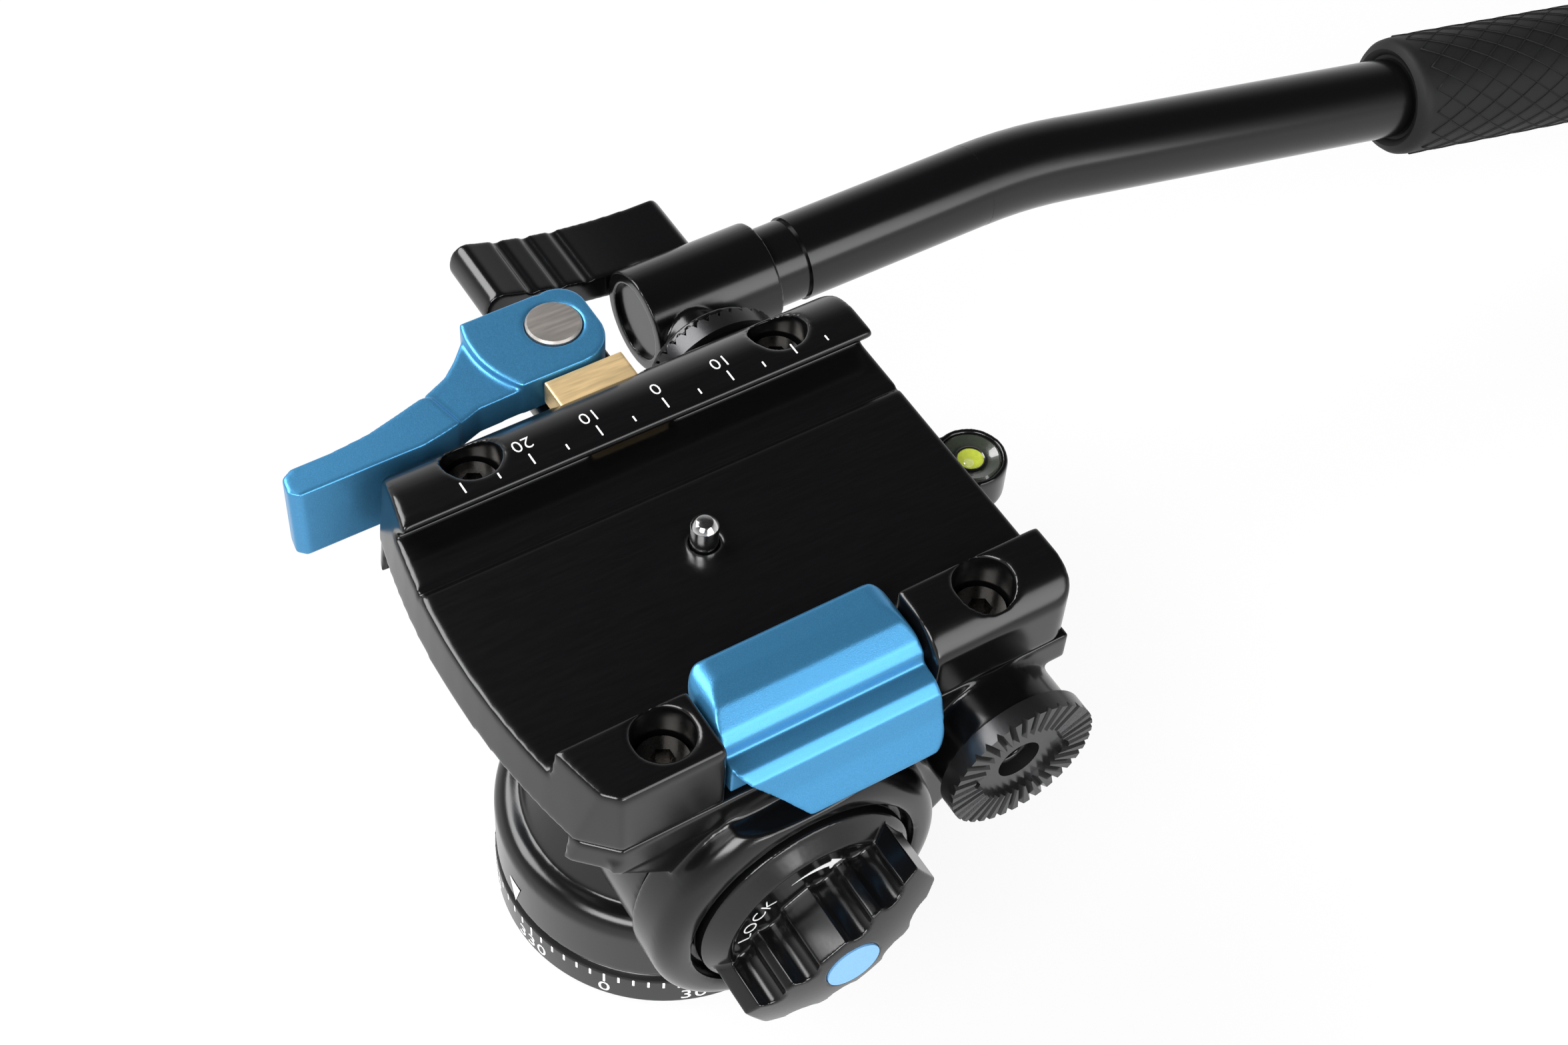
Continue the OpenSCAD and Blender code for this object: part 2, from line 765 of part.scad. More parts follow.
module catch_pin() {
    color("silver") rod_y(catch_pin_r, catch_pin_y0, catch_pin_y1, catch_pin_x, catch_pin_z);
}

module catch_spring() {
    mid = (catch_y0 + catch_y1) / 2;
    r = catch_pin_r + gap + catch_spring_wire / 2;
    color("silver") translate([catch_pin_x, mid + catch_pocket_l / 2 - 1, catch_pin_z]) rotate([90, 0, 0])
        coil(r, catch_spring_wire, catch_pocket_l - 2, 6);
}

module stop_spring() {
    color("silver") translate([stop_x, stop_y, stop_spring_z])
        coil(stop_r, stop_spring_wire, stop_collar_z - stop_collar_t - stop_spring_z, 3);
}

module stop_cover() {
    color("dimgray") translate([stop_x, stop_y, saddle_z]) cylinder(r = stop_pocket_r, h = stop_cover_t);
}

module stop_pin() {
    color("gainsboro") translate([stop_x, stop_y, 0]) {
        translate([0, 0, stop_collar_z - stop_collar_t])
            cylinder(r = stop_r + stop_collar, h = stop_collar_t);
        translate([0, 0, stop_collar_z - stop_collar_t])
            cylinder(r = stop_r, h = floor_z + stop_rise - stop_chamfer - stop_collar_z + stop_collar_t);
        translate([0, 0, floor_z + stop_rise - stop_chamfer])
            cylinder(r1 = stop_r, r2 = stop_r - stop_chamfer, h = stop_chamfer);
    }
}

// Section of the catch: nose over the channel, curved back, crease and finger tab
module catch_section() {
    nose_z = rail_z - lip_edge - 0.3;
    back_x = plat_half - 2.2;
    crease_z = floor_z - 0.4;
    polygon([
        [-lip_x, nose_z], [-lip_x, catch_top - 0.7], [-lip_x - 0.7, catch_top], [-lip_x - 4, catch_top],
        [-lip_x - 7, catch_top - 0.7], [-back_x + 1.2, catch_top - 2.6], [-back_x, catch_top - 4],
        [-back_x - 0.4, crease_z], [-back_x - 3, crease_z - 0.4], [-back_x - 4.6, crease_z - 1.7],
        [-back_x - 5.8, crease_z - 4.6], [-tab_x, tab_z + 0.6], [-tab_x + 0.8, tab_z], [-tab_x + 1.7, tab_z],
        [-tab_x + 2, tab_z + 4], [-plat_half - 1.2, saddle_z + 1.8], [-floor_x - 1, saddle_z + 1.8],
        [-floor_x - 1, floor_z - 0.2], [-floor_x, floor_z + 0.3]
    ]);
}

module safety_catch() {
    mid = (catch_y0 + catch_y1) / 2;
    cut = 9;
    color("dodgerblue") difference() {
        along_y(catch_y0, catch_y1) catch_section();
        rod_y(catch_pin_r + run_fit, catch_y0 - over, catch_y1 + over, catch_pin_x, catch_pin_z);
        rod_y(catch_pocket_r, mid - catch_pocket_l / 2, mid + catch_pocket_l / 2, catch_pin_x, catch_pin_z);
        translate([-tab_x - 2 * over, catch_y1, tab_z]) rotate([45, 0, 0])
            translate([0, -cut * 0.7, -cut * 0.7])
                cube([tab_x - plat_half + 2 * over, cut * 1.4, cut * 1.4]);
    }
}

// Lever seen from above: eye with rounded rear corners and an arched front, waist and paddle
module lever_eye() {
    x0 = lever_x - cam_x;
    x1 = lever_x + eye_x;
    y0 = lever_y - eye_y;
    intersection() {
        translate([lever_x + 1.3, y0 + eye_y - 2.9]) circle(eye_front_r, $fn = 180);
        union() {
            translate([x0, y0 + cam_r]) square([x1 - x0, 2 * eye_front_r]);
            translate([x0 + cam_r, y0]) square([x1 - x0 - cam_r - eye_r, 2 * eye_front_r]);
            translate([x0 + cam_r, y0 + cam_r]) circle(cam_r);
            translate([x1 - eye_r, y0 + eye_r]) circle(eye_r);
        }
    }
}

module lever_waist() {
    polygon([
        [paddle_x + 2.9, lever_y + 5], [lever_x + 5, lever_y + 9], [lever_x + 4, lever_y + 12.2],
        [lever_x + 1.4, lever_y + 14.6], [lever_x - 0.7, lever_y + 17.1], [lever_x - 2.4, lever_y + 21],
        [paddle_x + 0.8, lever_y + 21], [paddle_x + 1.7, lever_y + 18.2], [paddle_x + 2.6, lever_y + 15.5]
    ]);
}

module lever_paddle() {
    root = lever_y + 19;
    tip = lever_y + lever_l;
    polygon([
        [paddle_x + 1.2, root], [lever_x - 3.4, root + 1.4], [lever_x - 2.9, root + 2.6],
        [lever_x - 4.1, root + 7.2], [lever_x - 5.2, root + 11.6], [lever_x - 5.7, root + 16.7],
        [lever_x - 5.8, tip - 2], [lever_x - 6.8, tip - 0.4], [paddle_x + 1.2, tip], [paddle_x, tip - 1.2],
        [paddle_x, root + 6], [paddle_x + 0.6, root + 2.6]
    ]);
}

module clamp_lever() {
    color("dodgerblue") difference() {
        union() {
            translate([0, 0, lever_z]) linear_extrude(lever_t) lever_eye();
            translate([0, 0, lever_z]) linear_extrude(lever_t - neck_drop) lever_waist();
            translate([0, 0, lever_z - paddle_drop])
                linear_extrude(lever_t + paddle_drop - 0.4) lever_paddle();
        }
        translate([lever_x, lever_y, lever_z - over])
            cylinder(r = lever_pin_r + run_fit, h = lever_t + 2 * over);
    }
}

module clamp_jaw() {
    sole = floor_z + jaw_sill + jaw_gap;
    nose_x = floor_x + 0.3;
    color("goldenrod") along_y(lever_y - jaw_w / 2, lever_y + jaw_w / 2) polygon([
        [jaw_end, jaw_z0], [jaw_end, jaw_z1], [nose_x - (jaw_z1 - sole), jaw_z1], [nose_x, sole],
        [floor_x + jaw_step, sole], [floor_x + jaw_step, jaw_z0]
    ]);
}

// Grip bar in its own plane: bowed sides with scallops beside a plain centre
module bar_outline() {
    offset_y = bar_side_r - bar_w / 2;
    difference() {
        intersection() {
            translate([0, -offset_y]) circle(bar_side_r, $fn = 180);
            translate([0, offset_y]) circle(bar_side_r, $fn = 180);
            square([bar_l, bar_w + over], center = true);
        }
        for (s = [-1, 1], x = [-10.4, -4.6, 4.6, 10.4]) let (
            side = sqrt(bar_side_r * bar_side_r - x * x) - offset_y
        ) translate([x * bar_l / 29.4, s * (side + scallop_r - scallop_d)]) circle(scallop_r);
    }
}

module tilt_knob() {
    color("#141517") translate([0, 0, tilt_h]) mirror([1, 0, 0]) difference() {
        union() {
            rotate([0, 90, 0]) rotate_extrude() polygon([
                [0, knob_back], [knob_r - 1, knob_back], [knob_r, knob_back + 1], [knob_r, rim_x - 0.4],
                [knob_r - 0.6, rim_x], [ring_r + 0.5, ring_x], [ring_r, ring_x],
                [ring_r - 0.6, ring_x - dish_d], [0, ring_x - dish_d]
            ]);
            intersection() {
                along_x(knob_back + over, face_x) rotate(bar_turn) bar_outline();
                translate([face_x - dome_r, 0, 0]) sphere(dome_r, $fn = 180);
            }
            rod_x(knob_stud_r, knob_back - knob_stud_l, knob_back + over, 0, 0);
        }
        rod_x(cap_r, face_x - cap_t, face_x + over, 0, 0);
    }
}

module knob_cap() {
    color("lightskyblue") rod_x(cap_r, -face_x + 0.1, -face_x + cap_t, 0, tilt_h);
}

// Toothed disc of the arm, facing the bracket's rosette, with a cone behind it
module arm_disc() {
    translate([arm_x, handle_y, handle_z]) mirror([1, 0, 0]) difference() {
        union() {
            rod_x(arm_r, -arm_rim_t, tooth_h, 0, 0);
            translate([-arm_rim_t - arm_cone_t, 0, 0]) rotate([0, 90, 0])
                cylinder(r1 = arm_neck_r, r2 = arm_r, h = arm_cone_t);
        }
        tooth_grooves(tooth_phase + 0.5);
        rod_x(tooth_r + hub_d, -hub_d, tooth_h + over, 0, 0);
    }
}

module handle_arm() {
    color("#1a1b1d") difference() {
        union() {
            arm_disc();
            rod_x(arm_neck_r, arm_x + arm_rim_t, socket_x, handle_y, handle_z);
            rod_y(socket_r, handle_y - socket_back, handle_y + socket_front, socket_x, handle_z);
        }
        rod_x(stud_hole_r, rosette_x - over, wing_x + over, handle_y, handle_z);
        rod_y(socket_bore_r, handle_y - socket_back - over, handle_y - socket_back + spigot_l,
            socket_x, handle_z);
        rod_y(plug_r, handle_y + socket_front - plug_recess - plug_t, handle_y + socket_front + over,
            socket_x, handle_z);
    }
}

module handle_plug() {
    color("#2c2d2f") rod_y(plug_r, handle_y + socket_front - plug_recess - plug_t,
        handle_y + socket_front - plug_recess, socket_x, handle_z);
}

// Frame on the straight tube, with +Z along it and at the given distance from the socket
module at_tube(l) {
    translate([socket_x, handle_y - socket_back - l, handle_z]) rotate([90, 0, 0]) children();
}

// Frame on the bend's centre, with +Z along the straight tube and -X towards it
module at_bend() {
    at_tube(neck_l + tube_straight_l) rotate([0, 0, bend_roll]) translate([tube_bend_r, 0, 0]) children();
}

// Frame at the end of the bend, with +Z along the tube
module past_bend() {
    at_bend() rotate([0, tube_bend, 0]) translate([-tube_bend_r, 0, 0]) children();
}

module handle_tube() {
    r = tube_d / 2;
    color("#1f2023") union() {
        at_tube(-spigot_l) cylinder(r = socket_bore_r, h = spigot_l + neck_l);
        at_tube(0) cylinder(r = r - ring_gap / 2, h = neck_l - ring_gap);
        at_tube(neck_l) cylinder(r = r, h = tube_straight_l + over);
        at_bend() rotate([90, 0, 0]) rotate([0, 0, 180 - tube_bend])
            rotate_extrude(angle = tube_bend, $fn = 720)
                translate([tube_bend_r, 0]) circle(r + bend_step, $fn = 72);
        past_bend() translate([0, 0, -over]) cylinder(r = r, h = over + tube_free_l + grip_l - cap_plug);
    }
}

module handle_grip() {
    r = grip_d / 2;
    color("#101112") past_bend() difference() {
        union() {
            translate([0, 0, tube_free_l]) cylinder(r1 = r - grip_lip / 2, r2 = r, h = grip_lip / 2);
            translate([0, 0, tube_free_l + grip_lip / 2]) cylinder(r = r, h = grip_l - grip_lip / 2);
        }
        translate([0, 0, tube_free_l - over]) cylinder(r = tube_d / 2, h = grip_l + 2 * over);
    }
}

module grip_cap() {
    r = grip_d / 2;
    color("#18191b") past_bend() translate([0, 0, tube_free_l + grip_l]) {
        cylinder(r = r, h = grip_cap_t - 2);
        translate([0, 0, grip_cap_t - 2]) cylinder(r1 = r, r2 = r - 2, h = 2);
    }
}

// Wing knob's blade from the side, pointing along +X: rounded corners, hollow top and three grooves
module wing_outline() {
    front = wing_l - wing_tip_r;
    back = wing_tip_r - wing_back;
    difference() {
        union() {
            translate([-wing_back, wing_low + wing_tip_r])
                square([wing_l + wing_back, wing_top - wing_low - 2 * wing_tip_r]);
            translate([back, wing_low]) square([front - back, wing_top - wing_low]);
            for (x = [back, front], z = [wing_low, wing_top])
                translate([x, z - sign(z) * wing_tip_r]) circle(wing_tip_r);
            circle(wing_hub_r);
        }
        translate(wing_dish_at + [0, wing_dish_r]) circle(wing_dish_r, $fn = 360);
        for (x = groove_at) let (
            dish_z = wing_dish_r - sqrt(wing_dish_r * wing_dish_r - pow(x - wing_dish_at[0], 2))
        ) translate([x, wing_dish_at[1] + dish_z + wing_groove_r - wing_groove_d]) circle(wing_groove_r);
    }
}

module wing_knob() {
    stud_end = rosette_x - rosette_t - rosette_thread_l + 4;
    color("#18191b") translate([0, handle_y, handle_z]) union() {
        along_x(wing_x, wing_x + wing_w) rotate(wing_turn) wing_outline();
        rod_x(wing_stud_r, stud_end, wing_x + gap, 0, 0);
    }
}

pan_base();
pan_spindle();
pan_washer();
pan_friction_washer();
pan_nut();
pan_housing();
pan_bushing();
pan_brake_pad();
tilt_bushings();
drag_cup();
counterbalance_spring();
pan_knob();
cheek_left();
cheek_right();
tilt_shaft();
drag_drum();
platform();
platform_screws();
rosette_left();
rosette_right();
rosette_screws();
bubble_vial();
lever_pin();
catch_pin();
catch_spring();
stop_spring();
stop_cover();
clamp_lever();
clamp_jaw();
safety_catch();
stop_pin();
tilt_knob();
knob_cap();
handle_arm();
handle_plug();
handle_tube();
handle_grip();
grip_cap();
wing_knob();
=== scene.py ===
# %% [markdown]
# # A fluid video head, dressed piece by piece
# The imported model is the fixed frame: it has the right sizes and moves on its joints. Here each solid gets
# its finish, and the pieces whose rounded edges and small details show are modelled over their solids.

# %% Load the frame
import json
import math

import bpy
from mathutils import Matrix, Vector

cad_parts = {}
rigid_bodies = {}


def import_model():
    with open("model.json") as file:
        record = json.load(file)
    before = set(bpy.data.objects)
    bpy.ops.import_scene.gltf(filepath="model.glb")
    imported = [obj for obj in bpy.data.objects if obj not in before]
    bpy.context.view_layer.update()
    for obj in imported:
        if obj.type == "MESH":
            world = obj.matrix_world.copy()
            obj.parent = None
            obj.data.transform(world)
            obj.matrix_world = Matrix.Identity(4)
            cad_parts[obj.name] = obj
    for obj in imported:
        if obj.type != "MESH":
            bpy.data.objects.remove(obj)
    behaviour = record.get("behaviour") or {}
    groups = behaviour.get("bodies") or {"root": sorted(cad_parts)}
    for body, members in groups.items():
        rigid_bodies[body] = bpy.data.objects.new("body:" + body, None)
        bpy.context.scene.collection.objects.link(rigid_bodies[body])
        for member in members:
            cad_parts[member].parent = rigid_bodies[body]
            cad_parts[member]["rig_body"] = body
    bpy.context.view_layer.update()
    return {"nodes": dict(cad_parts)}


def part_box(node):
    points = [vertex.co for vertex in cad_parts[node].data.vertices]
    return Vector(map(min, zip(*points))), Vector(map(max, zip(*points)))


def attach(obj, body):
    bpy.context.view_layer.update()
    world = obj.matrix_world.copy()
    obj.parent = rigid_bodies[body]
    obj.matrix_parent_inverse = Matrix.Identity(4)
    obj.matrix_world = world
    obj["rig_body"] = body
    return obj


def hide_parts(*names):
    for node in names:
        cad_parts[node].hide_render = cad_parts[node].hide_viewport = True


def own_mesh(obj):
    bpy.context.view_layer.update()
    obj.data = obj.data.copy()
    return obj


MM = 0.001
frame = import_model()
nodes = frame["nodes"]

# %% [markdown]
# ## The camera
# The photograph looks down on the head from its left front. The camera's place and turn were worked out
# from the ruler marks on the rail and the round pieces, so a millimetre on the model lands on the same spot.

# %% Camera
CAMERA_AT = (-170.2, 104.0, 331.3)
CAMERA_TURN = (38.52, -3.035, -121.608)
camera_data = bpy.data.cameras.new("photo_camera")
camera_data.lens = 58.36
camera_data.sensor_width = 36
camera_data.sensor_fit = "HORIZONTAL"
camera_data.clip_start = 10 * MM
camera = bpy.data.objects.new("photo_camera", camera_data)
camera.location = [v * MM for v in CAMERA_AT]
camera.rotation_euler = [math.radians(a) for a in CAMERA_TURN]
bpy.context.scene.collection.objects.link(camera)
bpy.context.scene.camera = camera
print("camera", [round(v, 4) for v in camera.location])

# %% [markdown]
# ## Floor and light
# A white table and a white room that is dimmer overhead: black satin metal then shows the table in its
# sides and stays dark on top. Broad lamps give the long soft highlights.

# %% Floor
TABLE_SIZE = 6
TABLE_DROP = 0.2
bpy.ops.object.select_all(action="DESELECT")
bpy.ops.mesh.primitive_plane_add(size=TABLE_SIZE, location=(0, 0, -TABLE_DROP * MM))
floor = bpy.context.object
floor.name = "table"
print("table", TABLE_SIZE, "m wide")

# %% Table's finish
# The table glows for the camera and in pieces that mirror it, so it looks white and keeps a faint shadow.
TABLE_GREY = 0.86
TABLE_ROUGH = 0.9
GLOW_SHARE = 0.9
table = bpy.data.materials.new("table_white")
table.use_nodes = True
tree = table.node_tree
shader = tree.nodes["Principled BSDF"]
shader.inputs["Base Color"].default_value = (TABLE_GREY, TABLE_GREY, TABLE_GREY, 1)
shader.inputs["Roughness"].default_value = TABLE_ROUGH
output = tree.nodes["Material Output"]
glow = tree.nodes.new("ShaderNodeEmission")
glow.inputs["Strength"].default_value = 1
path = tree.nodes.new("ShaderNodeLightPath")
seen = tree.nodes.new("ShaderNodeMath")
seen.operation = "MAXIMUM"
mirrored = tree.nodes.new("ShaderNodeMath")
mirrored.operation = "MAXIMUM"
share = tree.nodes.new("ShaderNodeMath")
share.operation = "MULTIPLY"
share.inputs[1].default_value = GLOW_SHARE
mix = tree.nodes.new("ShaderNodeMixShader")
tree.links.new(path.outputs["Is Camera Ray"], seen.inputs[0])
tree.links.new(path.outputs["Is Transmission Ray"], seen.inputs[1])
tree.links.new(seen.outputs[0], mirrored.inputs[0])
tree.links.new(path.outputs["Is Glossy Ray"], mirrored.inputs[1])
tree.links.new(mirrored.outputs[0], share.inputs[0])
tree.links.new(share.outputs[0], mix.inputs[0])
tree.links.new(shader.outputs[0], mix.inputs[1])
tree.links.new(glow.outputs[0], mix.inputs[2])
tree.links.new(mix.outputs[0], output.inputs["Surface"])
floor.data.materials.append(table)
print("table nodes", len(tree.nodes))

# %% Room
# The ramp runs over the sine of the height in the sky: white at the horizon, dark from OVERHEAD_FROM up.
HORIZON = (0.9, 0.9, 0.9, 1)
OVERHEAD = (0.03, 0.03, 0.032, 1)
OVERHEAD_FROM = 0.65
world = bpy.data.worlds.new("white_room")
bpy.context.scene.world = world
world.use_nodes = True
tree = world.node_tree
background = tree.nodes["Background"]
coords = tree.nodes.new("ShaderNodeTexCoord")
split = tree.nodes.new("ShaderNodeSeparateXYZ")
ramp = tree.nodes.new("ShaderNodeValToRGB")
ramp.color_ramp.elements[0].position = 0.0
ramp.color_ramp.elements[0].color = HORIZON
ramp.color_ramp.elements[1].position = OVERHEAD_FROM
ramp.color_ramp.elements[1].color = OVERHEAD
tree.links.new(coords.outputs["Generated"], split.inputs[0])
tree.links.new(split.outputs["Z"], ramp.inputs[0])
tree.links.new(ramp.outputs[0], background.inputs["Color"])
print("room", world.name)

# %% Lamps
# Each lamp has its place and its size in metres, and its power in watts.
LAMP_AIM = Vector((0, 0, 0.05))
LAMPS = {
    "lamp_back": ((0.5, 0.35, 0.65), (0.7, 0.4), 8),
    "lamp_left": ((-0.75, -0.25, 0.5), (0.6, 0.5), 4),
    "lamp_front": ((-0.35, 0.55, 0.75), (0.5, 0.4), 7),
    "lamp_gleam": ((-1.0, 0.03, 0.36), (0.25, 0.2), 1.6),
}
for name, (place, size, watts) in LAMPS.items():
    lamp = bpy.data.lights.new(name, "AREA")
    lamp.shape = "RECTANGLE"
    lamp.size, lamp.size_y = size
    lamp.energy = watts
    holder = bpy.data.objects.new(name, lamp)
    holder.location = place
    holder.rotation_euler = (LAMP_AIM - Vector(place)).to_track_quat("-Z", "Y").to_euler()
    bpy.context.scene.collection.objects.link(holder)
print("lamps", len(LAMPS))

# %% [markdown]
# ## Finishes
# The head is black metal and plastic with a blue lever and catch, a brass jaw and steel pins. An image could
# show the grain of each, but noise needs no file and no unwrapping, so every finish is a shader with its own
# noise. The noise runs on object coordinates, which are metres here: a scale of 5000 is a grain of a fifth
# of a millimetre.

# %% Finish maker
# A Mix node that mixes colours has them at its inputs 6 and 7, and the mixed one at its output 2.
MIX_DARK, MIX_LIGHT, MIX_RESULT = 6, 7, 2
TINT = 0.25
NOISE_DETAIL = 3
BUMP_STRENGTH = 0.6


def grain(tree, shader, colour, scale, rough, depth, stretch):
    """Adds noise that varies the colour and the roughness and raises a fine bump."""
    coords = tree.nodes.new("ShaderNodeTexCoord")
    mapping = tree.nodes.new("ShaderNodeMapping")
    mapping.inputs["Scale"].default_value = stretch
    noise = tree.nodes.new("ShaderNodeTexNoise")
    noise.inputs["Scale"].default_value = scale
    noise.inputs["Detail"].default_value = NOISE_DETAIL
    spread = tree.nodes.new("ShaderNodeMapRange")
    spread.inputs["To Min"].default_value, spread.inputs["To Max"].default_value = rough
    bump = tree.nodes.new("ShaderNodeBump")
    bump.inputs["Strength"].default_value = BUMP_STRENGTH
    bump.inputs["Distance"].default_value = depth
    tint = tree.nodes.new("ShaderNodeMix")
    tint.data_type = "RGBA"
    tint.inputs[MIX_DARK].default_value = (*[(1 - TINT) * c for c in colour], 1)
    tint.inputs[MIX_LIGHT].default_value = (*[(1 + TINT) * c for c in colour], 1)
    tree.links.new(coords.outputs["Object"], mapping.inputs["Vector"])
    tree.links.new(mapping.outputs["Vector"], noise.inputs["Vector"])
    tree.links.new(noise.outputs["Fac"], spread.inputs["Value"])
    tree.links.new(spread.outputs["Result"], shader.inputs["Roughness"])
    tree.links.new(noise.outputs["Fac"], bump.inputs["Height"])
    tree.links.new(bump.outputs["Normal"], shader.inputs["Normal"])
    tree.links.new(noise.outputs["Fac"], tint.inputs[0])
    tree.links.new(tint.outputs[MIX_RESULT], shader.inputs["Base Color"])


def plain_finish(name, colour, rough, scale, depth, metal=0.0, stretch=(1, 1, 1), specular=0.5):
    """A finish of one colour: rough is its least and most roughness, depth its bump's height in metres."""
    finish = bpy.data.materials.new(name)
    finish.use_nodes = True
    tree = finish.node_tree
    shader = tree.nodes["Principled BSDF"]
    shader.inputs["Base Color"].default_value = (*colour, 1)
    shader.inputs["Roughness"].default_value = rough[0]
    shader.inputs["Metallic"].default_value = metal
    shader.inputs["Specular IOR Level"].default_value = specular
    grain(tree, shader, colour, scale, rough, depth, stretch)
    return finish


# %% Metals, plastics and paint
# TURNED draws the grain out along Y, as on a turned or milled piece.
TURNED = (1, 0.08, 1)
black_satin = plain_finish("black_satin", (0.003, 0.003, 0.0033), (0.16, 0.24), 6000, 4e-6)
black_plate = plain_finish("black_plate", (0.003, 0.003, 0.0033), (0.16, 0.24), 3000, 2e-6, stretch=TURNED)
black_plastic = plain_finish("black_plastic", (0.004, 0.004, 0.0044), (0.14, 0.22), 3000, 2e-6)
blue_satin = plain_finish("blue_satin", (0.066, 0.28, 0.525), (0.26, 0.42), 7000, 2e-5, metal=0.72)
pin_steel = plain_finish("pin_steel", (0.42, 0.39, 0.36), (0.4, 0.55), 1800, 4e-6, metal=1.0, stretch=TURNED)
screw_steel = plain_finish("screw_steel", (0.16, 0.15, 0.14), (0.22, 0.36), 2500, 1e-6, metal=1.0)
black_facets = plain_finish("black_facets", (0.05, 0.05, 0.052), (0.2, 0.3), 5000, 2e-6, metal=0.8)
steel = plain_finish("turned_steel", (0.55, 0.54, 0.53), (0.25, 0.42), 2500, 4e-6, metal=1.0, stretch=TURNED)
bright_steel = plain_finish("bright_steel", (0.75, 0.75, 0.75), (0.1, 0.2), 2500, 1e-6, metal=1.0)
dark_steel = plain_finish("dark_steel", (0.05, 0.05, 0.05), (0.3, 0.45), 3500, 4e-6, metal=0.8)
brass = plain_finish("satin_brass", (0.88, 0.66, 0.36), (0.45, 0.6), 2500, 5e-6, metal=1.0, stretch=TURNED)
bronze = plain_finish("oiled_bronze", (0.5, 0.33, 0.17), (0.35, 0.5), 3000, 5e-6, metal=1.0)
slip_plastic = plain_finish("slip_plastic", (0.8, 0.78, 0.72), (0.5, 0.65), 2500, 5e-6)
pale_blue = plain_finish("pale_blue", (0.18, 0.42, 0.72), (0.35, 0.5), 4000, 4e-6)
rubber = plain_finish("grip_rubber", (0.006, 0.006, 0.0065), (0.5, 0.7), 3000, 1.2e-5, specular=0.3)
white_paint = plain_finish("white_paint", (0.8, 0.8, 0.8), (0.5, 0.65), 4000, 2e-6)
print("finishes from", black_satin.name, "to", white_paint.name)

# %% Finishes on the solids
FINISH_OF = {
    black_satin: ["handle_tube"],
    black_facets: ["rosette_left", "rosette_right"],
    black_plastic: ["handle_plug"],
    steel: ["pan_spindle", "pan_nut", "tilt_shaft", "catch_pin", "counterbalance_spring", "catch_spring",
            "drag_cup", "drag_drum"],
    pin_steel: ["lever_pin"],
    screw_steel: ["platform_screws"],
    dark_steel: ["rosette_screws", "stop_cover"],
    brass: ["pan_brake_pad"],
    bronze: ["pan_bushing", "tilt_bushings"],
    slip_plastic: ["pan_washer", "pan_friction_washer"],
    pale_blue: ["knob_cap"],
}


def dress(piece, finish):
    """Gives a piece one finish in place of what it had."""
    piece.data.materials.clear()
    piece.data.materials.append(finish)


for finish, names in FINISH_OF.items():
    for name in names:
        dress(nodes[name], finish)
print("dressed", sum(len(names) for names in FINISH_OF.values()), "solids")

# %% [markdown]
# ## Soft edges
# No machined or cast edge is sharp: a thin rounded strip runs along it and catches the light. Turned pieces
# get it from a Bevel modifier on a merged copy of the solid. Pieces with many edges that meet, such as the
# cast cheeks and the blasted lever, are skinned anew on a fine grid and smoothed, as blasting does it.

# %% Tools for soft edges
MERGE = 2e-6
FLAT_ANGLE = 0.3


def pick(piece):
    """Makes a piece the only one selected, and the active one."""
    bpy.ops.object.select_all(action="DESELECT")
    piece.select_set(True)
    bpy.context.view_layer.objects.active = piece


def smooth_faces(piece, angle=35):
    """Shades the piece smooth up to an angle, and lets its large faces stay flat."""
    pick(piece)
    bpy.ops.object.shade_smooth_by_angle(angle=math.radians(angle))
    even = piece.modifiers.new("even", "WEIGHTED_NORMAL")
    even.keep_sharp = True
    bpy.ops.object.modifier_apply(modifier="even")


def whole_copy(node, name):
    """A copy of a solid as one skin: its loose triangles merged and its flat faces joined."""
    piece = bpy.data.objects.new(name, nodes[node].data.copy())
    bpy.context.scene.collection.objects.link(piece)
    pick(piece)
    bpy.ops.mesh.customdata_custom_splitnormals_clear()
    bpy.ops.object.mode_set(mode="EDIT")
    bpy.ops.mesh.select_all(action="SELECT")
    bpy.ops.mesh.remove_doubles(threshold=MERGE)
    bpy.ops.mesh.dissolve_limited(angle_limit=math.radians(FLAT_ANGLE))
    bpy.ops.object.mode_set(mode="OBJECT")
    return piece


def round_over(piece, width, angle=40, steps=3):
    """Rounds every edge sharper than an angle, over a width in mm."""
    pick(piece)
    edge = piece.modifiers.new("edge", "BEVEL")
    edge.width = width * MM
    edge.segments = steps
    edge.limit_method = "ANGLE"
    edge.angle_limit = math.radians(angle)
    edge.use_clamp_overlap = False
    bpy.ops.object.modifier_apply(modifier="edge")


def stand_for(piece, node, finish):
    """The piece takes the place of a solid, with its finish, and moves with the solid's body."""
    dress(piece, finish)
    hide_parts(node)
    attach(piece, nodes[node]["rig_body"])


# %% Turned pieces
ROUNDED = {"pan_base": (black_satin, 0.3), "pan_knob": (black_plastic, 0.3), "grip_cap": (black_plastic, 0.8)}
for node, (finish, width) in ROUNDED.items():
    piece = whole_copy(node, node + "_soft")
    round_over(piece, width)
    smooth_faces(piece)
    stand_for(piece, node, finish)
    print(node, "faces", len(piece.data.polygons))

# %% [markdown]
# ## Rounded corners of the catch
# The catch's sheet has corners cut to a radius of some millimetres, more than blasting gives. Two boxes of
# the catch's own size, with those corners bevelled, keep only what lies inside both. Its bore is drilled
# wider before the blasting, because the smoothing narrows it again.

# %% Tools for the catch
X, Z = 0, 2
CORNER_R = 3.2
CORNER_STEPS = 8
OVERHANG = 20
NEARLY_ALL = 0.9
DRILL_SIDES = 48


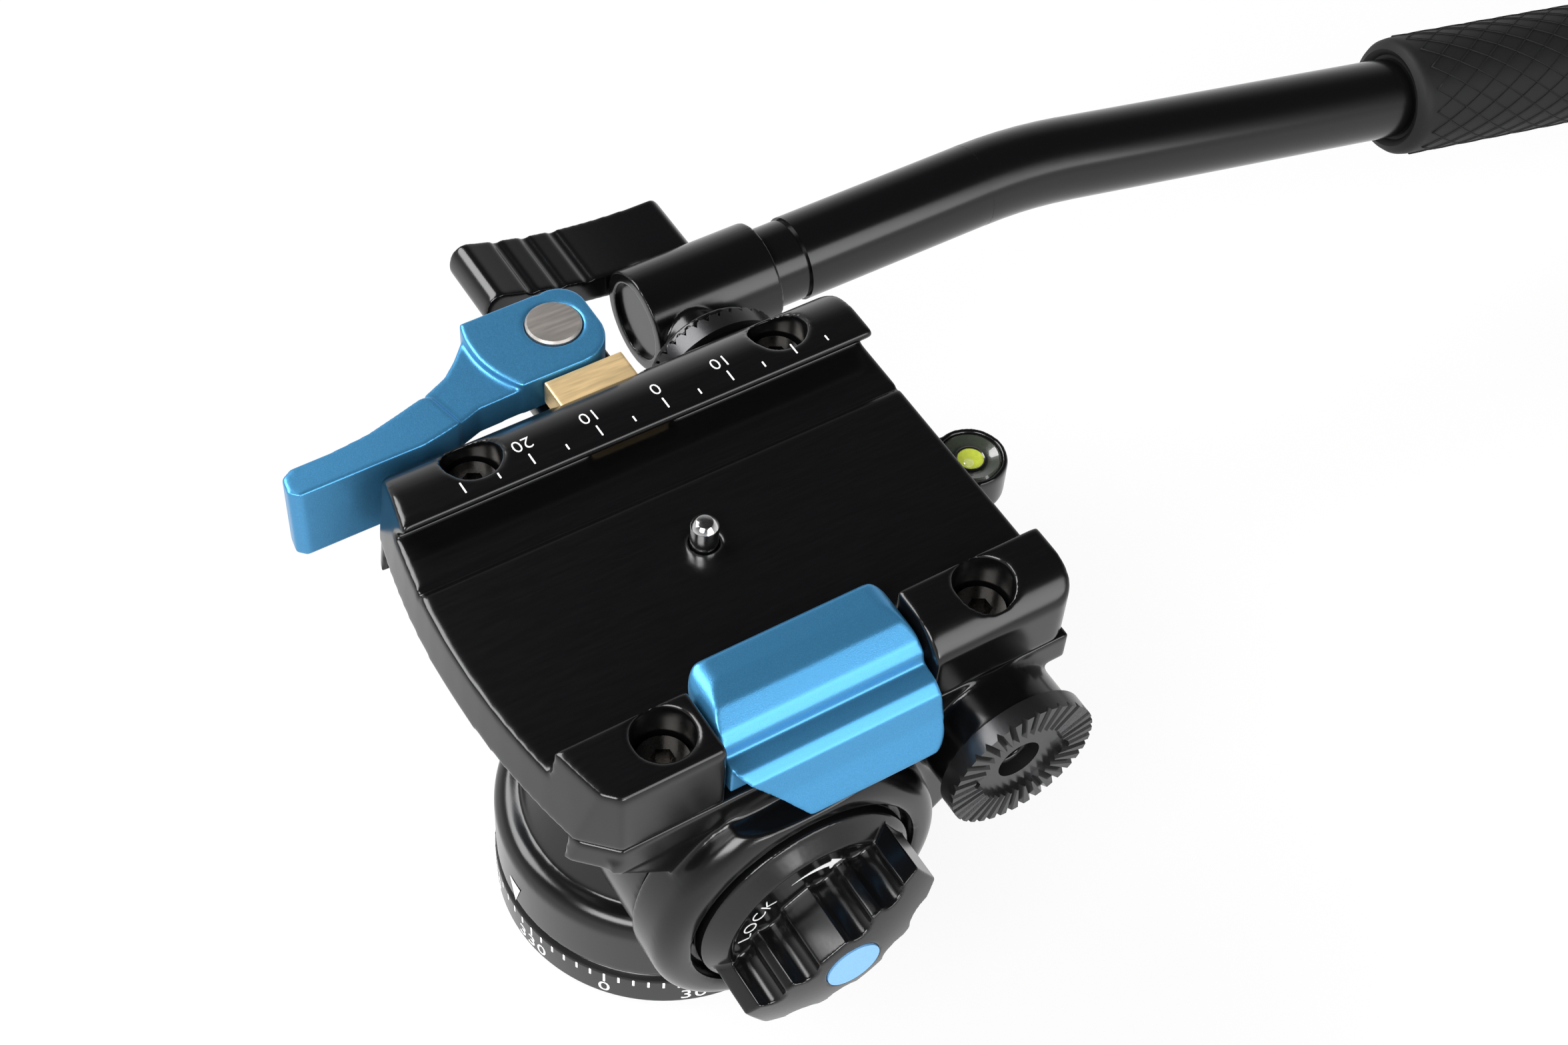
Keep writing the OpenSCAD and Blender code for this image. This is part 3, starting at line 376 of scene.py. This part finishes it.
def corner_box(node, axis, sides):
    """A box as large as a node's, with its edges along one axis bevelled on the chosen sides."""
    low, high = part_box(node)
    centre = (low + high) / 2
    bpy.ops.mesh.primitive_cube_add(size=1, location=centre)
    box = bpy.context.object
    box.scale = [high[i] - low[i] + (OVERHANG * MM if i == axis else 0) for i in range(3)]
    bpy.ops.object.transform_apply(location=True, rotation=False, scale=True)
    for edge in box.data.edges:
        start, end = [box.data.vertices[i].co for i in edge.vertices]
        middle = (start + end) / 2 - centre
        along = abs(end[axis] - start[axis]) > NEARLY_ALL * (end - start).length
        edge.select = along and all(middle[i] * side > 0 for i, side in sides)
    bpy.ops.object.mode_set(mode="EDIT")
    bpy.ops.mesh.select_mode(type="EDGE")
    bpy.ops.mesh.bevel(offset=CORNER_R * MM, segments=CORNER_STEPS, affect="EDGES")
    bpy.ops.object.mode_set(mode="OBJECT")
    return box


def pin_drill(node, room):
    """A rod along Y in a pin's place, wider than the pin all round by some room in mm."""
    low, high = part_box(node)
    radius = (high.x - low.x) / 2 + room * MM
    length = 2 * (high.y - low.y)
    bpy.ops.mesh.primitive_cylinder_add(vertices=DRILL_SIDES, radius=radius, depth=length)
    drill = bpy.context.object
    drill.location = (low + high) / 2
    drill.rotation_euler = (math.pi / 2, 0, 0)
    bpy.ops.object.transform_apply(location=True, rotation=True, scale=False)
    return drill


def cut_with(piece, tool, way):
    """Cuts a piece with a tool, in one of the Boolean modifier's ways, and takes the tool away."""
    pick(piece)
    cut = piece.modifiers.new("cut", "BOOLEAN")
    cut.operation = way
    cut.object = tool
    bpy.ops.object.modifier_apply(modifier="cut")
    bpy.data.objects.remove(tool)


# %% [markdown]
# ## Cast and blasted pieces
# Casting and blasting round every edge at once, inner ones too. A Bevel modifier breaks where many edges
# meet, so a Remesh modifier skins these pieces on a grid, and smoothing rounds what the grid has caught.

# %% Tool for blasting
SMOOTH_FACTOR = 0.5
KEEP_MOST = 0.5
TRIANGLES_MAX = 140000


def blast(piece, grid, rounds):
    """Skins the piece anew on a grid in mm and smooths it, then thins the mesh where it is flat."""
    pick(piece)
    skin = piece.modifiers.new("skin", "REMESH")
    skin.mode = "VOXEL"
    skin.voxel_size = grid * MM
    bpy.ops.object.modifier_apply(modifier="skin")
    relax = piece.modifiers.new("relax", "SMOOTH")
    relax.factor = SMOOTH_FACTOR
    relax.iterations = rounds
    bpy.ops.object.modifier_apply(modifier="relax")
    thin = piece.modifiers.new("thin", "DECIMATE")
    thin.ratio = min(KEEP_MOST, TRIANGLES_MAX / (2 * len(piece.data.polygons)))
    bpy.ops.object.modifier_apply(modifier="thin")


# %% Cast and blasted pieces
# Each piece has its finish, its grid in mm and its rounds of smoothing.
BLASTED = {
    "pan_housing": (black_satin, 0.35, 13), "cheek_left": (black_satin, 0.3, 18),
    "cheek_right": (black_satin, 0.3, 18), "platform": (black_plate, 0.3, 24),
    "handle_arm": (black_satin, 0.25, 3), "tilt_knob": (black_plastic, 0.2, 6),
    "wing_knob": (black_plastic, 0.2, 30), "clamp_lever": (blue_satin, 0.2, 22),
    "safety_catch": (blue_satin, 0.2, 25), "clamp_jaw": (brass, 0.2, 10),
}
BLASTED_ANGLE = 50
BORE_ROOM = 0.7
for node, (finish, grid, rounds) in BLASTED.items():
    piece = whole_copy(node, node + "_soft")
    if node == "safety_catch":
        cut_with(piece, corner_box(node, Z, [(X, 1)]), "INTERSECT")
        cut_with(piece, corner_box(node, X, [(Z, -1)]), "INTERSECT")
        cut_with(piece, pin_drill("catch_pin", BORE_ROOM), "DIFFERENCE")
    blast(piece, grid, rounds)
    smooth_faces(piece, BLASTED_ANGLE)
    stand_for(piece, node, finish)
    print(node, "faces", len(piece.data.polygons))

# %% [markdown]
# ## The stop pin's spring
# The spring under the stop pin gets shorter as the pin is pressed in: 4.25 mm at rest and 1.6 mm when the pin
# is down. Its copy here stands in the spring's place and gets a mesh of its own.

# %% Stop spring
spring = whole_copy("stop_spring", "stop_spring_soft")
stand_for(spring, "stop_spring", steel)
low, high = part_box("stop_spring")
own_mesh(spring)
print("spring height", round((high.z - low.z) / MM, 2))

# %% [markdown]
# ## Printed marks
# The rail's ruler, the pan dial and the knob's word are white ink. A texture would need an image, so each
# mark is a thin mesh on the surface: ticks are small plates, and figures are text made a mesh.

# %% Ink tools
INK = 0.03
CUT_SHARE = 0.2
CAPITAL_SHARE = 0.7
CURVE_STEPS = 4


def lay(piece, place, right, up):
    """Turns a flat piece so that its X runs along right and its Y along up, and puts it at a place in mm."""
    right, up = Vector(right).normalized(), Vector(up).normalized()
    turn = Matrix((right, up, right.cross(up))).transposed().to_4x4()
    piece.matrix_world = Matrix.Translation(Vector(place) * MM) @ turn
    pick(piece)
    bpy.ops.object.transform_apply(location=True, rotation=True, scale=True)
    return piece


def thicken(piece, way):
    """Makes a flat piece a plate as thick as the ink, grown the given way."""
    pick(piece)
    bpy.ops.object.mode_set(mode="EDIT")
    bpy.ops.mesh.select_all(action="SELECT")
    bpy.ops.mesh.extrude_region_move(TRANSFORM_OT_translate={"value": [v * INK * MM for v in way]})
    bpy.ops.mesh.select_all(action="SELECT")
    bpy.ops.mesh.normals_make_consistent(inside=False)
    bpy.ops.object.mode_set(mode="OBJECT")


def tick(length, width, place, right, up):
    """A small plate, its corners cut and its middle at the place."""
    bpy.ops.mesh.primitive_plane_add(size=1)
    piece = bpy.context.object
    piece.scale = (width * MM, length * MM, 1)
    bpy.ops.object.transform_apply(location=False, rotation=False, scale=True)
    bpy.ops.object.mode_set(mode="EDIT")
    bpy.ops.mesh.select_all(action="SELECT")
    bpy.ops.mesh.bevel(offset=width * CUT_SHARE * MM, affect="VERTICES")
    bpy.ops.object.mode_set(mode="OBJECT")
    thicken(piece, (0, 0, 1))
    return lay(piece, place, right, up)


def figure(text, height, place, right, up, wide=1.0, thin=0.018):
    """A figure or letter of a height in mm, its middle at the place and its strokes thinned by a share."""
    bpy.ops.object.text_add()
    piece = bpy.context.object
    piece.data.body = text
    piece.data.size = height / CAPITAL_SHARE * MM
    piece.data.extrude = INK * MM
    piece.data.offset = -height * thin * MM
    piece.data.resolution_u = CURVE_STEPS
    piece.data.align_x = "CENTER"
    bpy.ops.object.convert(target="MESH")
    piece = bpy.context.object
    piece.location = (0, -height / 2 * MM, 0)
    piece.scale = (wide, 1, 1)
    bpy.ops.object.transform_apply(location=True, rotation=False, scale=True)
    return lay(piece, place, right, up)


def join(pieces, name):
    """Joins pieces into the first of them, under a new name."""
    bpy.ops.object.select_all(action="DESELECT")
    for piece in pieces:
        piece.select_set(True)
    bpy.context.view_layer.objects.active = pieces[0]
    bpy.ops.object.join()
    whole = bpy.context.object
    whole.name = name
    return whole


def join_marks(marks, name, body):
    """Makes marks one white piece that rides on a body."""
    piece = join(marks, name)
    dress(piece, white_paint)
    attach(piece, body)
    print(name, "faces", len(piece.data.polygons))


# %% Ruler on the far rail
# The figures stand where the rail's nose starts to round off, so they lean with it.
RAIL_Z = 77.0
RULER_ZERO = -10.65
RULER_STEP = 5
RULER_IN = 19.4
LONG_TICK, SHORT_TICK, TICK_W = 1.9, 1.0, 0.24
NOSE_X, NOSE_R = 22.0, 9.8
FIGURE_X, FIGURE_H = 23.1, 2.1
marks = []
for step in range(-5, 7):
    length = LONG_TICK if step % 2 == 0 else SHORT_TICK
    place = (RULER_IN + length / 2, RULER_ZERO + RULER_STEP * step, RAIL_Z)
    marks.append(tick(length, TICK_W, place, (0, 1, 0), (-1, 0, 0)))
lean = math.asin((FIGURE_X - NOSE_X) / NOSE_R)
figure_z = RAIL_Z - NOSE_R * (1 - math.cos(lean))
figure_up = (-math.cos(lean), 0, math.sin(lean))
for text, y in (("20", 20), ("10", 10), ("0", 0), ("10", -10)):
    place = (FIGURE_X, RULER_ZERO + y, figure_z)
    marks.append(figure(text, FIGURE_H, place, (0, 1, 0), figure_up))
join_marks(marks, "rail_ruler", "tilt")

# %% Dial on the base
# A figure of two or three digits is set digit by digit, so that it follows the drum.
DIAL_R = 25.0
DIAL_ZERO = 130
DIAL_TOP = 6.1
DIAL_LONG, DIAL_SHORT, DIAL_TICK_W = 2.2, 1.5, 0.36
DIGIT_Z, DIGIT_H, DIGIT_WIDE = 2.5, 2.3, 1.2
DIGIT_STEP = 4.9


def on_drum(angle, radius, z):
    """A place on an upright drum, with the directions that run round it and up it."""
    a = math.radians(angle)
    return (radius * math.cos(a), radius * math.sin(a), z), (-math.sin(a), math.cos(a), 0), (0, 0, 1)


marks = []
for degree in range(0, 360, 5):
    length = DIAL_LONG if degree % 30 == 0 else DIAL_SHORT
    spot = on_drum(DIAL_ZERO + degree, DIAL_R, DIAL_TOP - length / 2)
    marks.append(tick(length, DIAL_TICK_W, *spot))
for degree in range(0, 360, 30):
    text = str(degree)
    for i, digit in enumerate(text):
        shift = (i - (len(text) - 1) / 2) * DIGIT_STEP
        spot = on_drum(DIAL_ZERO + degree + shift, DIAL_R, DIGIT_Z)
        marks.append(figure(digit, DIGIT_H, *spot, wide=DIGIT_WIDE, thin=0))
join_marks(marks, "pan_dial", "base")

# %% Pointer on the rotor
POINTER_AT, POINTER_R, POINTER_Z = 90.5, 24.86, 11.2
POINTER_SIZE = 1.5
POINTER_SCALE = (1.15, 2.1, 1)
bpy.ops.mesh.primitive_circle_add(vertices=3, radius=POINTER_SIZE * MM, fill_type="NGON",
                                  rotation=(0, 0, math.pi))
pointer = bpy.context.object
pointer.scale = POINTER_SCALE
bpy.ops.object.transform_apply(location=False, rotation=True, scale=True)
thicken(pointer, (0, 0, 1))
lay(pointer, *on_drum(POINTER_AT, POINTER_R, POINTER_Z))
join_marks([pointer], "pan_pointer", "pan")

# %% Word and arrow on the tilt knob
# Each letter has its angle and its radius. The arrow's outline is (angle, distance outside ARROW_R).
KNOB_X = -37.72
AXIS_Z = 41.3
WORD = (("L", 4, 10.5), ("O", 16, 10.1), ("C", 29, 9.8), ("K", 42, 9.6))
LETTER_H = 2.0
ARROW_R = 9.3
TAIL_AT, TAIL_STEP, TAIL_COUNT = 66, 6, 6
GROW_OUT, GROW_IN = 0.09, 0.07
ARROW_HEAD = [(102, 1.05), (120, 0.1), (104, -1.15)]


def on_knob(angle, radius):
    """A place on the knob's dish, with the directions that run round it and outwards."""
    a = math.radians(angle)
    place = (KNOB_X, radius * math.cos(a), AXIS_Z + radius * math.sin(a))
    return place, (0, -math.sin(a), math.cos(a)), (0, math.cos(a), math.sin(a))


marks = [figure(letter, LETTER_H, *on_knob(angle, radius)) for letter, angle, radius in WORD]
outline = [(TAIL_AT, 0)]
outline += [(TAIL_AT + TAIL_STEP * i, GROW_OUT * i) for i in range(1, TAIL_COUNT + 1)]
outline += ARROW_HEAD
outline += [(TAIL_AT + TAIL_STEP * i, -GROW_IN * i) for i in range(TAIL_COUNT, 0, -1)]
corners = [Vector(on_knob(angle, ARROW_R + out)[0]) * MM for angle, out in outline]
arrow_mesh = bpy.data.meshes.new("arrow")
arrow_mesh.from_pydata(corners, [], [list(range(len(corners)))])
arrow = bpy.data.objects.new("arrow", arrow_mesh)
bpy.context.scene.collection.objects.link(arrow)
thicken(arrow, (-1, 0, 0))
join_marks(marks + [arrow], "knob_word", "tilt_lock")

# %% [markdown]
# ## The bubble level
# A round vial: a clear cap over yellow-green fluid, with a black ring for the bubble to sit in. The cap is
# shown by a coat of clear gloss on each piece under it, which also shows in an exported model.

# %% Vial finishes
VIAL_GRAIN, VIAL_DEPTH = 1500, 2e-6
ROUGH_SPREAD = 0.1
COAT_ROUGH = 0.03


def glossy_finish(name, colour, rough):
    """A plain finish under a coat of clear gloss."""
    finish = plain_finish(name, colour, (rough, rough + ROUGH_SPREAD), VIAL_GRAIN, VIAL_DEPTH)
    shader = finish.node_tree.nodes["Principled BSDF"]
    shader.inputs["Coat Weight"].default_value = 1
    shader.inputs["Coat Roughness"].default_value = COAT_ROUGH
    return finish


vial_clear = glossy_finish("vial_clear", (0.03, 0.036, 0.026), 0.2)
vial_fluid = glossy_finish("vial_fluid", (0.50, 0.58, 0.06), 0.3)
vial_ring = glossy_finish("vial_ring", (0.004, 0.004, 0.004), 0.2)
vial_bubble = glossy_finish("vial_bubble", (0.62, 0.68, 0.22), 0.1)
print("vial finishes from", vial_clear.name, "to", vial_bubble.name)

# %% Tool for turned profiles
SEAM = 1e-6


def turned(name, profile, centre, steps=48):
    """Spins a profile of (radius, height) points in mm about an upright axis, and moves it to a centre."""
    bpy.ops.mesh.primitive_plane_add(size=MM)
    piece = bpy.context.object
    piece.name = name
    mesh = piece.data
    mesh.clear_geometry()
    points = [(r * MM, 0, z * MM) for r, z in profile]
    mesh.from_pydata(points, [(i, i + 1) for i in range(len(points) - 1)], [])
    bpy.ops.object.mode_set(mode="EDIT")
    bpy.ops.mesh.select_all(action="SELECT")
    bpy.ops.mesh.spin(steps=steps, angle=2 * math.pi, center=(0, 0, 0), axis=(0, 0, 1))
    bpy.ops.mesh.select_all(action="SELECT")
    bpy.ops.mesh.remove_doubles(threshold=SEAM)
    bpy.ops.mesh.normals_make_consistent(inside=False)
    bpy.ops.object.mode_set(mode="OBJECT")
    piece.location = centre
    bpy.ops.object.transform_apply(location=True, rotation=False, scale=False)
    smooth_faces(piece)
    return piece


# %% Vial pieces
# The heights run down from the vial's top, and the bubble sits off the centre.
low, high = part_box("bubble_vial")
vial_r = (high.x - low.x) / 2 / MM
vial_at = Vector(((low.x + high.x) / 2, (low.y + high.y) / 2, high.z))
bubble_at = vial_at + Vector((-0.5, 0.6, 0)) * MM
cup = turned("vial_cup", [(0, -4.6), (vial_r, -4.6), (vial_r, -0.3), (vial_r - 0.4, 0),
                          (3.0, -0.4), (2.3, -0.7), (0, -0.7)], vial_at)
stand_for(cup, "bubble_vial", vial_clear)
fluid = turned("vial_fluid", [(0, -0.9), (1.9, -0.9), (1.85, -0.5), (1.1, -0.42), (0, -0.4)], vial_at)
ring = turned("vial_ring", [(1.85, -0.7), (1.85, -0.4), (2.0, -0.33), (2.25, -0.4),
                            (2.25, -0.7), (1.85, -0.7)], vial_at)
bubble = turned("vial_bubble", [(0, -0.5), (0.8, -0.5), (0.7, -0.4), (0.4, -0.34), (0, -0.33)], bubble_at)
for piece, finish in ((fluid, vial_fluid), (ring, vial_ring), (bubble, vial_bubble)):
    dress(piece, finish)
    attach(piece, "tilt")
print("vial", [round(v / MM, 1) for v in vial_at])

# %% [markdown]
# ## The stop pin
# A polished pin shows each flat of a coarse mesh, so it is turned anew on many steps, with its chamfer's two
# edges broken.

# %% Stop pin
# The chamfer's points are (distance inside the pin's radius, distance below its top).
COLLAR_W, COLLAR_T = 0.9, 0.7
CHAMFER = ((0, 0.88), (0.06, 0.74), (0.72, 0.08), (0.86, 0))
PIN_STEPS = 64
low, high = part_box("stop_pin")
pin_r = (high.x - low.x) / 2 / MM - COLLAR_W
pin_l = (high.z - low.z) / MM
profile = [(0, 0), (pin_r + COLLAR_W, 0), (pin_r + COLLAR_W, COLLAR_T), (pin_r, COLLAR_T)]
profile += [(pin_r - inside, pin_l - below) for inside, below in CHAMFER]
profile += [(0, pin_l)]
pin_at = ((low.x + high.x) / 2, (low.y + high.y) / 2, low.z)
pin = turned("stop_pin_soft", profile, pin_at, steps=PIN_STEPS)
stand_for(pin, "stop_pin", bright_steel)
print("stop pin", round(2 * pin_r, 2), "by", round(pin_l, 2))

# %% [markdown]
# ## The grip
# A foam sleeve with a fine net pressed into it. The sleeve is a turned profile with a rolled lip, and the
# net is one thin ridge wound round it, copied round the sleeve in both directions. A bump could draw the net
# too, but ridges of mesh also show at the grip's edge and in an exported model.

# %% Grip sleeve
# The profile runs from the tube over the rolled lip to the skin, and along the skin to the far end.
BEND_END = Vector((51.73, -101.96, 53.93))
GRIP_WAY = Vector((-0.1228, -0.9848, -0.1228)).normalized()
GRIP_START = 64.0
GRIP_L = 105.0
GRIP_R = 10.0
TUBE_R = 6.6
NET_H = 0.14
LIP_R, LIP_W, LIP_H = 8.3, 1.3, 1.6
END_CUT = 0.4
SLEEVE_STEPS = 72


def along_grip(piece):
    """Moves a piece modelled about the Z axis to the grip's place on the slanting tube."""
    start = (BEND_END + GRIP_WAY * GRIP_START) * MM
    piece.matrix_world = Matrix.Translation(start) @ GRIP_WAY.to_track_quat("Z", "X").to_matrix().to_4x4()
    pick(piece)
    bpy.ops.object.transform_apply(location=True, rotation=True, scale=True)


skin_r = GRIP_R - NET_H
profile = [(TUBE_R, 0.9)]
profile += [(LIP_R - LIP_W * math.cos(a), LIP_H - LIP_H * math.sin(a)) for a in (0.5, 1.0, 1.5)]
profile += [(9.2, 0.5), (skin_r - 0.15, 1.3), (skin_r, 2.4)]
profile += [(skin_r, GRIP_L - END_CUT), (skin_r - END_CUT, GRIP_L), (TUBE_R, GRIP_L)]
sleeve = turned("grip_sleeve", profile + profile[:1], (0, 0, 0), steps=SLEEVE_STEPS)
along_grip(sleeve)
stand_for(sleeve, "handle_grip", rubber)
print("sleeve faces", len(sleeve.data.polygons))

# %% Grip net
# Each ridge is a strand of square section. NET_LEAD is the length over which it winds round once.
NET_COUNT = 16
NET_LEAD = 96.0
NET_FROM = 3
NET_SHORT = 4.5
NET_STEPS = 60
STRAND_R = 0.24
net_l = GRIP_L - NET_SHORT
ridges = []
for hand in (1, -1):
    bpy.ops.mesh.primitive_circle_add(vertices=4, radius=STRAND_R * MM, rotation=(math.pi / 2, 0, 0),
                                      location=(skin_r * MM, 0, NET_FROM * MM))
    ridge = bpy.context.object
    bpy.ops.object.transform_apply(location=True, rotation=True, scale=True)
    wind = ridge.modifiers.new("wind", "SCREW")
    wind.angle = hand * 2 * math.pi * net_l / NET_LEAD
    wind.screw_offset = net_l * MM
    wind.steps = NET_STEPS
    wind.render_steps = NET_STEPS
    bpy.ops.object.modifier_apply(modifier="wind")
    for i in range(NET_COUNT):
        copy = bpy.data.objects.new("net", ridge.data.copy())
        bpy.context.scene.collection.objects.link(copy)
        copy.data.transform(Matrix.Rotation(2 * math.pi * i / NET_COUNT, 4, "Z"))
        ridges.append(copy)
    bpy.data.objects.remove(ridge)
net = join(ridges, "grip_net")
bpy.ops.object.mode_set(mode="EDIT")
bpy.ops.mesh.select_all(action="SELECT")
bpy.ops.mesh.fill_holes(sides=4)
bpy.ops.mesh.select_all(action="SELECT")
bpy.ops.mesh.normals_make_consistent(inside=False)
bpy.ops.object.mode_set(mode="OBJECT")
along_grip(net)
dress(net, rubber)
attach(net, "handle")
print("net faces", len(net.data.polygons))

# %% [markdown]
# ## Colour view
# The render's colours go out through the Standard view transform.

# %% Colour view
bpy.context.scene.view_settings.view_transform = "Standard"
